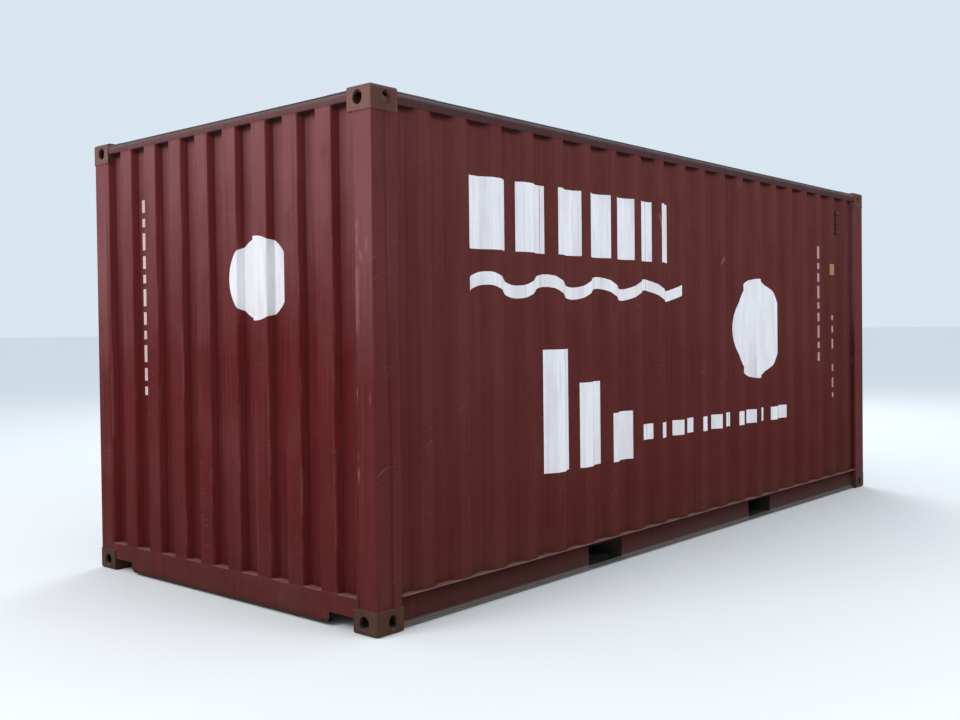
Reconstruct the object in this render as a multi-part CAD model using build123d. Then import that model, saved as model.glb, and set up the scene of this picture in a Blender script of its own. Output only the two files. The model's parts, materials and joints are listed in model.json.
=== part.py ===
from build123d import *
from math import radians, tan
import os

# Freight container, 20 ft long and 8 ft 6 in high: a welded box of corrugated steel sheet
# on a frame of posts and rails, with a hollow casting at each of its eight corners.
# Lengths are millimetres. The origin is the bottom centre of the box, +X points to the
# door end and +Z up. Left and right are those of someone who faces the doors from outside.

# Envelope
length = 6058.0
width = 2438.0
height = 2591.0
frame_inset = 5.0
front_sheet_inset = 7.0
side_sheet_inset = 10.0
base_lift = 12.5
top_drop = 21.0
overrun = 1.0
seat_gap = 0.3

# Corner fittings
fitting_length = 178.0
fitting_width = 162.0
fitting_height = 118.0
fitting_rounding = 16.0
fitting_plate = 28.5
fitting_outer_wall = 16.0
fitting_inner_wall = 12.0
fitting_post_plate = 15.0
aperture_from_end = 102.5
aperture_from_side = 89.5
aperture_length = 124.0
aperture_width = 63.5
face_hole_height = 70.0
face_hole_rise = 57.0
side_hole_width = 51.0
end_hole_width = 63.5

# Front corner posts, pressed from plate and closed on the inside
front_post_face = 126.0
front_post_depth = 50.0
post_wall = 6.0
post_bend = 8.0
post_return = 44.0
groove_start = 81.0
groove_width = 33.0
groove_depth = 9.0
groove_slope = 7.0

# Rear corner posts, closed tubes with a flange that shields the hinges
rear_post_face = 44.0
rear_flange = 10.0
rear_flange_lap = 30.0

# Tubes of the top frame
rail_width = 60.0
top_rail_height = 55.0
header_height = 45.0
rail_wall = 3.0
rail_bend = 5.0

# Bottom side rails, channels that open outwards
side_rail_wall = 4.5
side_rail_top_flange = 48.0
side_rail_bottom_flange = 30.0
side_rail_bend = 5.0
side_rail_edge_inset = 3.0

# Floor frame
floor_thickness = 28.0
floor_edge_gap = 0.5
board_joint = 1.5
boards_per_side = 5
centre_rail_width = 50.0
cross_wall = 4.0
cross_flange = 45.0
cross_bend = 4.0
cross_pitch = 285.0

# Fork pockets
pocket_spacing = 2090.0
pocket_width = 360.0
pocket_height = 115.0
pocket_roof = 3.0
pocket_strap = 10.0
pocket_strap_reach = 200.0

# Front sill, a channel that opens inwards with a notch beside each corner fitting
sill_rise = 156.0
sill_depth = 60.0
sill_wall = 5.0
sill_bend = 5.0
sill_notch_width = 180.0
sill_notch_top = 72.0
sill_notch_rounding = 40.0

# Door end frame
gear_depth = 72.0
door_sill_depth = 75.0
door_header_depth = 100.0
door_header_height = 140.0
door_frame_wall = 4.5

# Side walls
side_sheet = 1.6
side_pitch = 280.0
side_ridge = 72.0
side_valley = 70.0
side_depth = 36.0
side_bend = 8.0

# Front wall
front_sheet = 2.0
front_pitch = 250.0
front_valley = 104.0
front_slope = 18.0
front_depth = 45.6
front_bend = 8.0

# Roof
roof_sheet = 2.0
roof_pitch = 209.0
roof_groove = 64.0
roof_slope = 27.0
roof_depth = 18.0
roof_margin_end = 25.0
roof_margin_side = 95.0
corner_plate = 3.0
corner_plate_length = 450.0
corner_plate_width = 300.0

# Door leaves
door_gap = 11.0
door_centre_gap = 12.0
leaf_thickness = 50.0
leaf_inset = 4.0
leaf_tube = 100.0
leaf_wall = 3.2
leaf_channel = 150.0
leaf_sheet = 2.0
leaf_bend = 6.0
leaf_grooves = 5
leaf_groove = 72.0
leaf_slope = 60.0
leaf_groove_depth = 34.0
gasket_depth = 38.0

# Door gear
rod_radius = 17.0
rod_standoff = 40.0
rod_places_shares = (0.25, 0.75)
rod_end_reach = 66.0
cam_height = 44.0
cam_radius = 27.0
cam_beak = 20.0
cam_thickness = 16.0
keeper_height = 60.0
keeper_plate = 6.0
keeper_hook = 9.0
keeper_gap = 2.0
keeper_lip_cover = 14.0
bracket_height = 58.0
bracket_width = 104.0
bracket_plate = 5.0
bracket_wall = 5.0
bracket_clearance = 0.5
handle_offset = 48.0
handle_length = 430.0
handle_height = 34.0
handle_thickness = 10.0
handle_hub_height = 70.0
handle_hub_wall = 8.0
catch_height = 90.0
catch_width = 56.0
catch_gap = 1.0
hinges_per_leaf = 4
hinge_end_share = 0.07
hinge_height = 120.0
hinge_blade = 8.0
hinge_blade_reach = 110.0
hinge_pin_radius = 7.0
hinge_barrel_wall = 6.0
hinge_lug = 14.0
hinge_gap = 1.0
hinge_flange_gap = 5.0

# Ventilators
vent_below_top = 281.0
vent_width = 62.0
vent_height = 190.0
vent_depth = 26.0
vent_wall = 2.5
vent_bevel = 3.0
vent_slots = 6
vent_slot_height = 9.0
vent_slot_pitch = 24.0
vent_slot_margin = 9.0

# Planes and edges worked out from the sizes above
half_length = length / 2
half_width = width / 2
end_plane = -half_length + frame_inset
side_plane = -half_width + frame_inset
front_sheet_plane = -half_length + front_sheet_inset
side_sheet_plane = -half_width + side_sheet_inset
post_inner_end = -half_length + fitting_length
post_inner_side = side_plane + front_post_face
door_side = half_width - frame_inset - rear_post_face
gear_plane = half_length - gear_depth
frame_top = height - top_drop
top_rail_underside = frame_top - top_rail_height
header_underside = frame_top - header_height
cross_height = pocket_strap + pocket_height + pocket_roof
floor_underside = base_lift + cross_height
floor_top = floor_underside + floor_thickness
sill_top = base_lift + sill_rise
door_sill_top = sill_top
door_header_underside = frame_top - door_header_height
side_rail_edge = -half_width + side_rail_edge_inset
side_rail_inside = side_rail_edge + side_rail_top_flange
leaf_face = gear_plane - leaf_inset
leaf_back = leaf_face - leaf_thickness
leaf_inner = -door_centre_gap / 2
leaf_outer = -door_side + door_gap
leaf_width = leaf_inner - leaf_outer
leaf_low = door_sill_top + door_gap
leaf_high = door_header_underside - door_gap
leaf_height = leaf_high - leaf_low
rod_axis = leaf_face + rod_standoff
lever_front = rod_axis + rod_radius + handle_hub_wall - overrun
lever_back = lever_front - handle_thickness
hinge_step = leaf_face - hinge_gap
floor_start = end_plane + sill_depth + floor_edge_gap
floor_end = gear_plane - door_sill_depth - floor_edge_gap
tiny = seat_gap / 10


# Helpers for sections and runs

def block(x_span, y_span, z_span):
    """A plain block between pairs of limits along each axis."""
    spans = (x_span, y_span, z_span)
    centre = [(low + high) / 2 for low, high in spans]
    sizes = [high - low for low, high in spans]
    return Pos(*centre) * Box(*sizes)


def panel(u_span, v_span):
    """A plain rectangle between pairs of limits."""
    centre = [(low + high) / 2 for low, high in (u_span, v_span)]
    sizes = [high - low for low, high in (u_span, v_span)]
    return Pos(*centre) * Rectangle(*sizes)


def along_x(section, start, end):
    """A section drawn in Y and Z, run from start to end along X."""
    return extrude(Plane.YZ.offset(start) * section, amount=end - start)


def along_y(section, start, end):
    """A section drawn in X and Z, run from start to end along Y."""
    return extrude(Plane.XZ.offset(-end) * section, amount=end - start)


def along_z(section, start, end):
    """A section drawn in X and Y, run from start to end along Z."""
    return extrude(Plane.XY.offset(start) * section, amount=end - start)


def directions(points, closed):
    """Unit vector of each straight stretch of a path."""
    following = points[1:] + points[:1] if closed else points[1:]
    return [(after - before).normalized() for before, after in zip(points, following)]


def turned_left(direction):
    """The direction a quarter turn to the left in the drawing plane."""
    return Vector(-direction.Y, direction.X)


def parallel(points, distance, closed=False):
    """The same path with mitred corners, a distance to its left."""
    runs = directions(points, closed)
    moved = []
    for index, point in enumerate(points):
        if closed:
            before, after = runs[index - 1], runs[index]
        else:
            before = runs[max(index - 1, 0)]
            after = runs[min(index, len(runs) - 1)]
        left_before = turned_left(before)
        left_after = turned_left(after)
        reach = distance / (1 + left_before.dot(left_after))
        moved.append(point + (left_before + left_after) * reach)
    return moved


def bent_path(points, bend, outside, closed=False):
    """Edges through the points, each corner an arc; outside is the radius added at right turns."""
    runs = directions(points, closed)
    stops = []
    for index, point in enumerate(points):
        if not closed and index in (0, len(points) - 1):
            stops.append((point, None, point))
            continue
        before, after = runs[index - 1], runs[index]
        left_turn = turned_left(before).dot(after) > 0
        radius = bend + (max(outside, 0) if left_turn else max(-outside, 0))
        half_turn = before.get_angle(after) / 2
        tangent = radius * tan(radians(half_turn))
        inward = (after - before).normalized()
        start = point - before * tangent
        end = point + after * tangent
        half_chord = (end - start).length / 2
        sagitta = radius - (radius * radius - half_chord * half_chord) ** 0.5
        middle = (start + end) / 2 - inward * sagitta
        stops.append((start, middle, end))
    edges = []
    for index, (start, middle, end) in enumerate(stops):
        if middle is not None:
            edges += ThreePointArc(start, middle, end).edges()
        if closed or index < len(stops) - 1:
            edges += Line(end, stops[(index + 1) % len(stops)][0]).edges()
    return edges


def folded_sheet(points, thickness, bend):
    """Section of a sheet folded along the points, its thickness laid to the left of the path."""
    path = [Vector(*point) for point in points]
    back = parallel(path, thickness)
    edges = bent_path(path, bend, thickness)
    edges += bent_path(back, bend, -thickness)
    edges += Line(path[0], back[0]).edges()
    edges += Line(path[-1], back[-1]).edges()
    return make_face(edges)


def closed_tube(points, thickness, bend):
    """Hollow section whose outline runs counterclockwise through the points."""
    path = [Vector(*point) for point in points]
    outer = make_face(bent_path(path, bend, thickness, closed=True))
    inner = make_face(bent_path(parallel(path, thickness, True), bend, -thickness, closed=True))
    return outer - inner


def square_tube(u_span, v_span, thickness, bend):
    """Hollow rectangular section between pairs of limits."""
    u_low, u_high = u_span
    v_low, v_high = v_span
    corners = [(u_low, v_low), (u_high, v_low), (u_high, v_high), (u_low, v_high)]
    return closed_tube(corners, thickness, bend)


def to_right(shape):
    """Mirror image on the right side of the container."""
    return mirror(shape, about=Plane.XZ)


def to_rear(shape):
    """Mirror image at the other end of the container."""
    return mirror(shape, about=Plane.YZ)


def to_top(shape):
    """Mirror image at the top of the container."""
    return Pos(0, 0, height) * mirror(shape, about=Plane.XY)


def both_sides(shape):
    """The shape on the left and its mirror image on the right."""
    return [shape, to_right(shape)]


def gathered(shapes):
    """Several solids that don't touch, kept as one set."""
    solids = [solid for shape in shapes for solid in shape.solids()]
    return Compound(children=solids)


# Corner fittings

def corner_fitting():
    """Casting at the bottom front left corner: a hollow block with a hole in each outer face."""
    x_low, y_low = -half_length, -half_width
    x_high = x_low + fitting_length
    y_high = y_low + fitting_width
    body = block((x_low, x_high), (y_low, y_high), (0, fitting_height))

    def between_outer_faces(edge):
        middle = edge.center()
        touched = [abs(middle.X - x_low) < tiny, abs(middle.Y - y_low) < tiny, abs(middle.Z) < tiny]
        return sum(touched) == 2

    body = fillet(body.edges().filter_by(between_outer_faces), fitting_rounding)
    cavity = block(
        (x_low + fitting_outer_wall, x_high - fitting_inner_wall),
        (y_low + fitting_outer_wall, y_high - fitting_inner_wall),
        (fitting_plate, fitting_height - fitting_post_plate),
    )
    hole_x = x_low + aperture_from_end
    hole_y = y_low + aperture_from_side
    aperture = along_z(
        Pos(hole_x, hole_y) * SlotOverall(aperture_length, aperture_width),
        -overrun, fitting_plate + overrun)
    side_hole = along_y(
        Pos(hole_x, face_hole_rise) * SlotOverall(face_hole_height, side_hole_width, rotation=90),
        y_low - overrun, y_low + fitting_outer_wall + overrun)
    end_hole = along_x(
        Pos(hole_y, face_hole_rise) * SlotOverall(face_hole_height, end_hole_width, rotation=90),
        x_low - overrun, x_low + fitting_outer_wall + overrun)
    return body - cavity - aperture - side_hole - end_hole


# Posts

def front_post():
    """Left front post: a pressed section with a groove down its side face."""
    groove_end = end_plane + groove_start + groove_width
    groove_floor = side_plane + groove_depth
    outline = [
        (end_plane, side_plane),
        (end_plane + groove_start, side_plane),
        (end_plane + groove_start + groove_slope, groove_floor),
        (groove_end - groove_slope, groove_floor),
        (groove_end, side_plane),
        (post_inner_end, side_plane),
        (post_inner_end, side_plane + post_return),
        (end_plane + front_post_depth, post_inner_side),
        (end_plane, post_inner_side),
    ]
    section = closed_tube(outline, post_wall, post_bend / 2)
    return along_z(section, fitting_height, height - fitting_height)


def rear_post():
    """Left rear post: a closed tube with a flange on its outer side that runs back past the hinges."""
    inner_x = half_length - fitting_length
    section = square_tube((inner_x, hinge_step), (side_plane, -door_side), post_wall, post_bend / 2)
    section += panel((hinge_step - rear_flange_lap, half_length - frame_inset),
                     (side_plane, side_plane + rear_flange))
    section -= panel((inner_x + post_wall, hinge_step - post_wall),
                     (side_plane + post_wall, -door_side - post_wall))
    return along_z(section, fitting_height, height - fitting_height)


# Rails

def top_side_rail():
    """Left top side rail, a tube between the two top fittings."""
    section = square_tube(
        (side_plane, side_plane + rail_width), (top_rail_underside, frame_top), rail_wall, rail_bend)
    return along_x(section, -half_length + fitting_length, half_length - fitting_length)


def pocket_centres():
    """Places of the two fork pockets along the container."""
    return (-pocket_spacing / 2, pocket_spacing / 2)


def pocket_span(centre):
    """Limits along X of the opening of the fork pocket at a centre."""
    return (centre - pocket_width / 2, centre + pocket_width / 2)


def pocket_window():
    """Limits in height of the opening of a fork pocket."""
    return (base_lift + pocket_strap, floor_underside - pocket_roof)


def bottom_side_rail():
    """Left bottom side rail: a channel that opens outwards, cut through at the fork pockets."""
    path = [
        (side_rail_edge, floor_top),
        (side_rail_inside, floor_top),
        (side_rail_inside, base_lift),
        (side_rail_inside - side_rail_bottom_flange, base_lift),
    ]
    section = folded_sheet(path[::-1], side_rail_wall, side_rail_bend)
    rail = along_x(section, -half_length + fitting_length, half_length - fitting_length)
    for centre in pocket_centres():
        rail -= block(
            pocket_span(centre),
            (side_rail_inside - side_rail_wall - overrun, side_rail_inside + overrun),
            pocket_window())
    return rail


def front_header():
    """Tube across the front top edge, between the fittings."""
    section = square_tube(
        (end_plane, end_plane + rail_width), (header_underside, frame_top), rail_wall, rail_bend)
    reach = half_width - fitting_width
    return along_y(section, -reach, reach)


def front_sill():
    """Pressed channel across the front bottom edge, notched beside each fitting."""
    path = [
        (end_plane + sill_depth, sill_top),
        (end_plane, sill_top),
        (end_plane, base_lift),
        (end_plane + sill_depth, base_lift),
    ]
    section = folded_sheet(path, sill_wall, sill_bend)
    sill = along_y(section, post_inner_side, -post_inner_side)
    notch_outer = half_width - fitting_width
    notch_inner = notch_outer - sill_notch_width
    reach = (end_plane - overrun, end_plane + sill_depth + overrun)
    for side in (-1, 1):
        outline = panel(
            sorted((side * notch_inner, side * (half_width + overrun))),
            (base_lift - sill_notch_rounding, sill_notch_top))
        outline += panel(
            sorted((side * notch_outer, side * (half_width + overrun))),
            (base_lift - sill_notch_rounding, fitting_height))
        sill -= along_x(outline, *reach)
        # The deep part's lower corner is rounded up into the notch
        corner = panel(
            sorted((side * (notch_inner - sill_notch_rounding), side * (notch_inner + overrun))),
            (base_lift - overrun, base_lift + sill_notch_rounding))
        corner -= Pos(side * (notch_inner - sill_notch_rounding), base_lift + sill_notch_rounding) \
            * Circle(sill_notch_rounding)
        sill -= along_x(corner, *reach)
    return sill


def without_fittings(member):
    """A rear cross member with room cut for the four rear fittings."""
    x_span = (half_length - fitting_length, half_length)
    for y_span in ((-half_width, -half_width + fitting_width), (half_width - fitting_width, half_width)):
        for z_span in ((0, fitting_height), (height - fitting_height, height)):
            member -= block(x_span, y_span, z_span)
    return member


def door_header():
    """Closed section across the top of the door opening."""
    section = square_tube(
        (gear_plane - door_header_depth, gear_plane), (door_header_underside, frame_top),
        door_frame_wall, rail_bend)
    return without_fittings(along_y(section, -door_side, door_side))


def door_sill():
    """Closed section across the foot of the door opening."""
    section = square_tube(
        (gear_plane - door_sill_depth, gear_plane), (base_lift, door_sill_top),
        door_frame_wall, rail_bend)
    return without_fittings(along_y(section, -door_side, door_side))


# Walls and roof

def side_ridges():
    """Places along X of the middles of the side walls' ridges, as many as fit between the posts."""
    run = length - 2 * (fitting_length + seat_gap)
    footprint = side_pitch - side_valley
    count = int((run - footprint) / side_pitch) + 1
    return [(index - (count - 1) / 2) * side_pitch for index in range(count)]


def side_wall():
    """Left side wall: sheet folded into upright ridges, from post to post."""
    end = half_length - fitting_length - seat_gap
    valley_plane = side_sheet_plane + side_depth
    foot = side_pitch / 2 - side_valley / 2
    path = [(-end, valley_plane)]
    for centre in side_ridges():
        path += [
            (centre - foot, valley_plane),
            (centre - side_ridge / 2, side_sheet_plane),
            (centre + side_ridge / 2, side_sheet_plane),
            (centre + foot, valley_plane),
        ]
    path.append((end, valley_plane))
    return along_z(folded_sheet(path, side_sheet, side_bend), floor_top, top_rail_underside)


def front_wall():
    """Front wall: deep upright folds between the posts, cut clear of the top fittings."""
    edge = -post_inner_side - seat_gap
    valley_plane = front_sheet_plane + front_depth
    opening = front_valley + 2 * front_slope
    valleys = int((2 * edge - opening) / front_pitch) + 1
    path = [(front_sheet_plane, edge)]
    for index in range(valleys):
        centre = ((valleys - 1) / 2 - index) * front_pitch
        path += [
            (front_sheet_plane, centre + front_valley / 2 + front_slope),
            (valley_plane, centre + front_valley / 2),
            (valley_plane, centre - front_valley / 2),
            (front_sheet_plane, centre - front_valley / 2 - front_slope),
        ]
    path.append((front_sheet_plane, -edge))
    wall = along_z(folded_sheet(path, front_sheet, front_bend), sill_top, header_underside)
    x_span = (-half_length, post_inner_end)
    z_span = (height - fitting_height - seat_gap, height)
    inner = half_width - fitting_width - seat_gap
    wall -= block(x_span, (-half_width, -inner), z_span)
    wall -= block(x_span, (inner, half_width), z_span)
    return wall


def roof_pan(extra):
    """One pressed groove as a solid, larger all round by extra; its top is the sheet's top."""
    opening = roof_groove + 2 * roof_slope + 2 * extra
    run = width - 2 * roof_margin_side + 2 * extra
    slope = roof_slope
    depth = roof_depth
    top = Plane.XY.offset(frame_top + roof_sheet) * Rectangle(opening, run)
    foot = Plane.XY.offset(frame_top + roof_sheet - depth - extra) \
        * Rectangle(opening - 2 * slope, run - 2 * slope)
    return loft([top.face(), foot.face()])


def roof_panel():
    """Roof sheet on top of the frame, with grooves pressed down between flat margins."""
    x_low, x_high = end_plane, gear_plane
    sheet = block((x_low, x_high), (side_plane, -side_plane), (frame_top, frame_top + roof_sheet))
    clear_x = half_length - fitting_length - seat_gap
    clear_y = half_width - fitting_width - seat_gap
    for x_span in ((-half_length, -clear_x), (clear_x, half_length)):
        for y_span in ((-half_width, -clear_y), (clear_y, half_width)):
            sheet -= block(x_span, y_span, (frame_top - overrun, height))
    last_edge = half_length - fitting_length - roof_margin_end
    first_edge = -last_edge
    opening = roof_groove + 2 * roof_slope
    grooves = int((last_edge - first_edge - opening) / roof_pitch) + 1
    first = (first_edge + last_edge - (grooves - 1) * roof_pitch) / 2
    places = [Pos(first + index * roof_pitch, 0, 0) for index in range(grooves)]
    outer = roof_pan(roof_sheet)
    inner = roof_pan(0)
    sheet += [place * outer for place in places]
    sheet -= [place * inner for place in places]
    return sheet


def roof_corner_plates():
    """Four plates that shield the roof beside the top fittings."""
    low = frame_top + roof_sheet
    plate = block(
        (end_plane, end_plane + corner_plate_length),
        (side_plane, side_plane + corner_plate_width),
        (low, low + corner_plate))
    plate -= block(
        (-half_length, -half_length + fitting_length + seat_gap),
        (-half_width, -half_width + fitting_width + seat_gap),
        (low - overrun, height))
    rear = block(
        (gear_plane - corner_plate_length, gear_plane),
        (side_plane, side_plane + corner_plate_width),
        (low, low + corner_plate))
    rear -= block(
        (half_length - fitting_length - seat_gap, half_length),
        (-half_width, -half_width + fitting_width + seat_gap),
        (low - overrun, height))
    return gathered(both_sides(plate) + both_sides(rear))


# Floor frame

def cross_section(place, opens_to_rear):
    """Section in X and Z of a cross member whose web starts at a place along X."""
    side = 1 if opens_to_rear else -1
    path = [
        (place + side * cross_flange, base_lift),
        (place, base_lift),
        (place, floor_underside),
        (place + side * cross_flange, floor_underside),
    ]
    if opens_to_rear:
        path = path[::-1]
    return folded_sheet(path, cross_wall, cross_bend)


def cross_members():
    """Channels evenly spaced over each of the three stretches of the floor beside the fork pockets."""
    reach = -side_rail_inside
    front_pocket, rear_pocket = pocket_centres()
    pocket_half = pocket_width / 2 + cross_flange
    stretches = (
        (end_plane + sill_depth, front_pocket - pocket_half),
        (front_pocket + pocket_half, rear_pocket - pocket_half),
        (rear_pocket + pocket_half, gear_plane - door_sill_depth),
    )
    members = []
    for start, end in stretches:
        count = max(int((end - start) / cross_pitch), 1)
        step = (end - start) / (count + 1)
        for index in range(count):
            members.append(along_y(cross_section(start + step * (index + 1), True), -reach, reach))
    return gathered(members)


def fork_pocket(centre):
    """Tunnel across the container: two channels, a roof plate and straps under its ends."""
    low, high = pocket_span(centre)
    reach = -side_rail_inside
    tunnel = along_y(cross_section(low, False), -reach, reach)
    tunnel += along_y(cross_section(high, True), -reach, reach)
    tunnel += block((low - cross_wall, high + cross_wall), (-reach, reach),
                    (floor_underside - pocket_roof, floor_underside))
    for y_span in ((-reach, -reach + pocket_strap_reach), (reach - pocket_strap_reach, reach)):
        tunnel += block((low - cross_wall, high + cross_wall), y_span,
                        (base_lift, base_lift + pocket_strap))
    return tunnel


def floor_boards():
    """Plywood boards of both halves of the floor, laid end to end and cut round the front posts."""
    run = (floor_end - floor_start + board_joint) / boards_per_side
    y_span = (side_rail_inside + floor_edge_gap, -centre_rail_width / 2 - floor_edge_gap)
    around_post = block(
        (floor_start - overrun, post_inner_end + floor_edge_gap),
        (-half_width, post_inner_side + floor_edge_gap),
        (floor_underside - overrun, floor_top + overrun))
    boards = []
    for index in range(boards_per_side):
        start = floor_start + index * run
        board = block((start, start + run - board_joint), y_span, (floor_underside, floor_top))
        boards += both_sides(board - around_post if index == 0 else board)
    return gathered(boards)


def floor_centre_rail():
    """Pressed steel rail between the two halves of the floor."""
    half = centre_rail_width / 2
    path = [(-half, floor_underside), (-half, floor_top), (half, floor_top), (half, floor_underside)]
    return along_x(folded_sheet(path[::-1], cross_wall, cross_bend), floor_start, floor_end)


# Doors

def door_frame():
    """Frame of the left leaf: an upright tube at each edge and a channel at top and bottom."""
    x_span = (leaf_back, leaf_face)
    frame = None
    for y_span in ((leaf_outer, leaf_outer + leaf_tube), (leaf_inner - leaf_tube, leaf_inner)):
        tube = along_z(square_tube(x_span, y_span, leaf_wall, leaf_bend / 2), leaf_low, leaf_high)
        frame = tube if frame is None else frame + tube
    inner_low = leaf_outer + leaf_tube
    inner_high = leaf_inner - leaf_tube
    for z_low, z_high in ((leaf_low, leaf_low + leaf_channel), (leaf_high - leaf_channel, leaf_high)):
        path = [(leaf_back, z_high), (leaf_face, z_high), (leaf_face, z_low), (leaf_back, z_low)]
        frame += along_y(folded_sheet(path[::-1], leaf_wall, leaf_bend / 2), inner_low, inner_high)
    return frame


def handle_land():
    """Which flat land of the leaf, counted from the bottom channel, carries the handles."""
    return leaf_grooves // 2


def land_height(count):
    """Height of the middle of a flat land of the leaf's sheet, counted from the bottom channel."""
    return leaf_low + leaf_channel + count * (leaf_height - 2 * leaf_channel) / leaf_grooves


def door_panel():
    """Sheet of the left leaf, with grooves pressed in across it."""
    inner = leaf_face - leaf_groove_depth
    path = [(leaf_face, leaf_low + leaf_channel + seat_gap)]
    for index in range(leaf_grooves):
        centre = land_height(index + 1 / 2)
        path += [
            (leaf_face, centre - leaf_groove / 2 - leaf_slope),
            (inner, centre - leaf_groove / 2),
            (inner, centre + leaf_groove / 2),
            (leaf_face, centre + leaf_groove / 2 + leaf_slope),
        ]
    path.append((leaf_face, leaf_high - leaf_channel - seat_gap))
    section = folded_sheet(path, leaf_sheet, leaf_bend)
    return along_y(section, leaf_outer + leaf_tube + seat_gap, leaf_inner - leaf_tube - seat_gap)


def door_gaskets():
    """Rubber seal around each leaf, which closes the gap to the frame."""
    margin = (leaf_thickness - gasket_depth) / 2
    x_span = (leaf_back + margin, leaf_face - margin)
    outline = panel((-door_side + seat_gap, -seat_gap),
                    (door_sill_top + seat_gap, door_header_underside - seat_gap))
    outline -= panel((leaf_outer - seat_gap, leaf_inner + seat_gap),
                     (leaf_low - seat_gap, leaf_high + seat_gap))
    return gathered(both_sides(along_x(outline, *x_span)))


def rod_places():
    """Places along Y of the two lock rods of the left leaf."""
    return [leaf_outer + leaf_width * share for share in rod_places_shares]


def cam_section(place):
    """Section of a cam: a disc on the rod with a beak to each side."""
    disc = Pos(rod_axis, place) * Circle(cam_radius)
    beak = Pos(rod_axis, place) * Rectangle(cam_thickness, 2 * (cam_radius + cam_beak))
    beak = fillet(beak.vertices(), cam_thickness / 3)
    return disc + beak


def handle_middle(side):
    """Height of the handle that points to a side: 1 for towards the other leaf."""
    return land_height(handle_land()) - side * handle_offset


def lock_rod(place, handle_side):
    """A lock rod with a cam at each end and the hub and lever of its handle."""
    low = leaf_low - rod_end_reach
    high = leaf_high + rod_end_reach
    rod = along_z(Pos(rod_axis, place) * Circle(rod_radius), low, high)
    rod += along_z(cam_section(place), low, low + cam_height)
    rod += along_z(cam_section(place), high - cam_height, high)
    middle = handle_middle(handle_side)
    hub = Pos(rod_axis, place) * Circle(rod_radius + handle_hub_wall)
    rod += along_z(hub, middle - handle_hub_height / 2, middle + handle_hub_height / 2)
    tip = place + handle_side * handle_length
    lever = panel(sorted((place, tip)), (middle - handle_height / 2, middle + handle_height / 2))
    lever = fillet(lever.vertices(), handle_height / 3)
    return rod + along_x(lever, lever_back, lever_front)


def handle_catches():
    """Catches on the leaves that hold the tips of the handles."""
    catches = []
    outer_rod, inner_rod = rod_places()
    for place, side in ((outer_rod, 1), (inner_rod, -1)):
        middle = handle_middle(side)
        tip = place + side * handle_length
        y_span = sorted((tip, tip - side * catch_width))
        z_span = (middle - catch_height / 2, middle + catch_height / 2)
        section = panel((leaf_face, lever_front), z_span)
        section -= panel((lever_back - catch_gap, lever_front + overrun),
                         (middle - handle_height / 2 - catch_gap, middle + handle_height / 2 + catch_gap))
        catches += both_sides(along_y(section, *y_span))
    return gathered(catches)


def keeper_section(place):
    """Section of a keeper: a plate with a hook to each side that closes round the cam's beak."""
    post_inner = cam_radius + cam_beak + keeper_gap
    post_outer = post_inner + keeper_hook
    front = rod_axis + cam_thickness / 2 + keeper_gap + keeper_hook
    section = panel((gear_plane, gear_plane + keeper_plate), (place - post_outer, place + post_outer))
    for side in (-1, 1):
        post = sorted((place + side * post_inner, place + side * post_outer))
        lip = sorted((place + side * (post_inner - keeper_lip_cover), place + side * post_outer))
        section += panel((gear_plane, front), post)
        section += panel((front - keeper_hook, front), lip)
    return section


def cam_keepers():
    """Keepers on the sill and the header that the cams hook behind."""
    low = leaf_low - rod_end_reach + cam_height / 2
    high = leaf_high + rod_end_reach - cam_height / 2
    keepers = []
    for place in rod_places():
        for centre in (low, high):
            keeper = along_z(keeper_section(place), centre - keeper_height / 2, centre + keeper_height / 2)
            keepers += both_sides(keeper)
    return gathered(keepers)


def bracket_section(place):
    """Section of a rod bracket: two feet on the leaf and an arch over the rod."""
    inner = rod_radius + bracket_clearance
    outer = inner + bracket_wall
    feet = panel((leaf_face, leaf_face + bracket_plate),
                 (place - bracket_width / 2, place + bracket_width / 2))
    arch = Pos(rod_axis, place) * Circle(outer)
    arch += panel((leaf_face, rod_axis), (place - outer, place + outer))
    passage = Pos(rod_axis, place) * Circle(inner)
    return feet + arch - passage


def rod_brackets():
    """Brackets that guide the four rods on the leaves."""
    brackets = []
    heights = [leaf_low + leaf_channel / 2, leaf_high - leaf_channel / 2]
    heights += [land_height(handle_land() + step) for step in (-1, 1)]
    for place in rod_places():
        for middle in heights:
            bracket = along_z(bracket_section(place), middle - bracket_height / 2,
                              middle + bracket_height / 2)
            brackets += both_sides(bracket)
    return gathered(brackets)


def hinge_centres():
    """Heights of the hinges of one leaf."""
    first = leaf_low + leaf_height * hinge_end_share
    last = leaf_high - leaf_height * hinge_end_share
    step = (last - first) / (hinges_per_leaf - 1)
    return [first + step * index for index in range(hinges_per_leaf)]


def door_hinges():
    """Hinges of the left leaf: a blade on the leaf, a barrel and pin, and two lugs on the post."""
    barrel_radius = hinge_pin_radius + hinge_barrel_wall
    pin_x = leaf_face + barrel_radius
    pin_y = side_plane + rear_flange + hinge_flange_gap + barrel_radius
    hinges = []
    for centre in hinge_centres():
        low = centre - hinge_height / 2
        high = centre + hinge_height / 2
        blade = panel((leaf_face, leaf_face + hinge_blade), (pin_y, leaf_outer + hinge_blade_reach))
        blade += Pos(pin_x, pin_y) * Circle(barrel_radius)
        hinge = along_z(blade, low + hinge_lug + hinge_gap, high - hinge_lug - hinge_gap)
        hinge += along_z(Pos(pin_x, pin_y) * Circle(hinge_pin_radius), low, high)
        lug = Pos(pin_x, pin_y) * Circle(barrel_radius)
        lug += panel((hinge_step, pin_x), (pin_y - barrel_radius, pin_y + barrel_radius))
        for z_span in ((low, low + hinge_lug), (high - hinge_lug, high)):
            hinge += along_z(lug, *z_span)
        hinges.append(hinge)
    return gathered(hinges)


# Ventilators

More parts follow.
